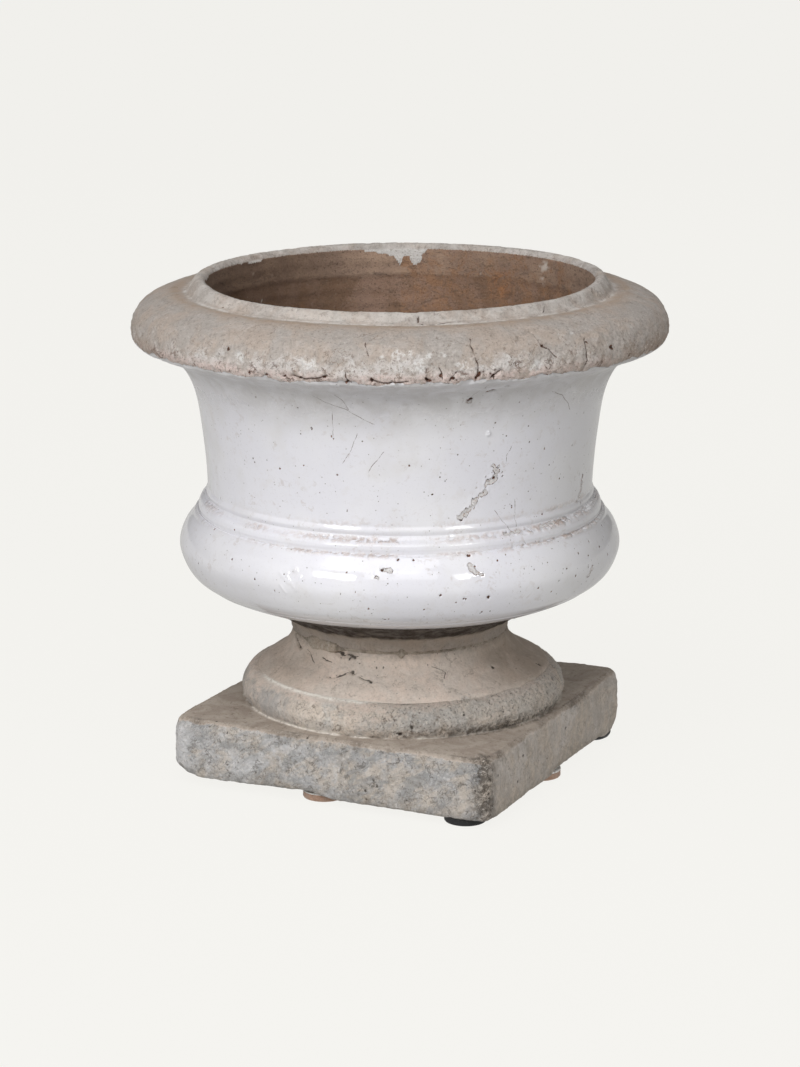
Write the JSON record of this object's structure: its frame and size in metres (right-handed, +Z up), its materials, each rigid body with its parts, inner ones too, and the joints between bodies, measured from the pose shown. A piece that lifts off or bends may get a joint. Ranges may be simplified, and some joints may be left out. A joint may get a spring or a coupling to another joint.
{
  "type": "pedestal garden urn",
  "caption": "Wide glazed terracotta garden urn with a rolled bare rim and beaded waist, on a hollow bell-shaped pedestal with a square plinth and stick-on pads.",
  "frame": {"origin": "on the floor, under the axis of the turned bowl, at the underside of the pads", "axes": "+Z up through the mouth of the bowl, X and Y square to the plinth's sides, -Y facing the side that shows a felt pad left of centre and a rubber pad at its right corner"},
  "size_m": [0.4802, 0.4802, 0.4537],
  "materials": {
    "glazed_terracotta": "glossy tin-white glaze on the outside, bare weathered clay on the rim and inside",
    "bare_terracotta": "matt, weathered, limed",
    "lime_mortar": "rough, dirty",
    "black_rubber": "satin",
    "tan_felt": "felt",
    "adhesive_film": "matt white foam film"
  },
  "bodies": {
    "root": {"bowl": "glazed_terracotta", "pedestal": "bare_terracotta", "mortar_bed": "lime_mortar", "rubber_pad_front_left": "black_rubber", "rubber_pad_front_right": "black_rubber", "rubber_pad_back_left": "black_rubber", "rubber_pad_back_right": "black_rubber", "felt_pad_front": "tan_felt", "adhesive_film_front": "adhesive_film", "felt_pad_right": "tan_felt", "adhesive_film_right": "adhesive_film", "felt_pad_back": "tan_felt", "adhesive_film_back": "adhesive_film", "felt_pad_left": "tan_felt", "adhesive_film_left": "adhesive_film"}
  },
  "joints": []
}
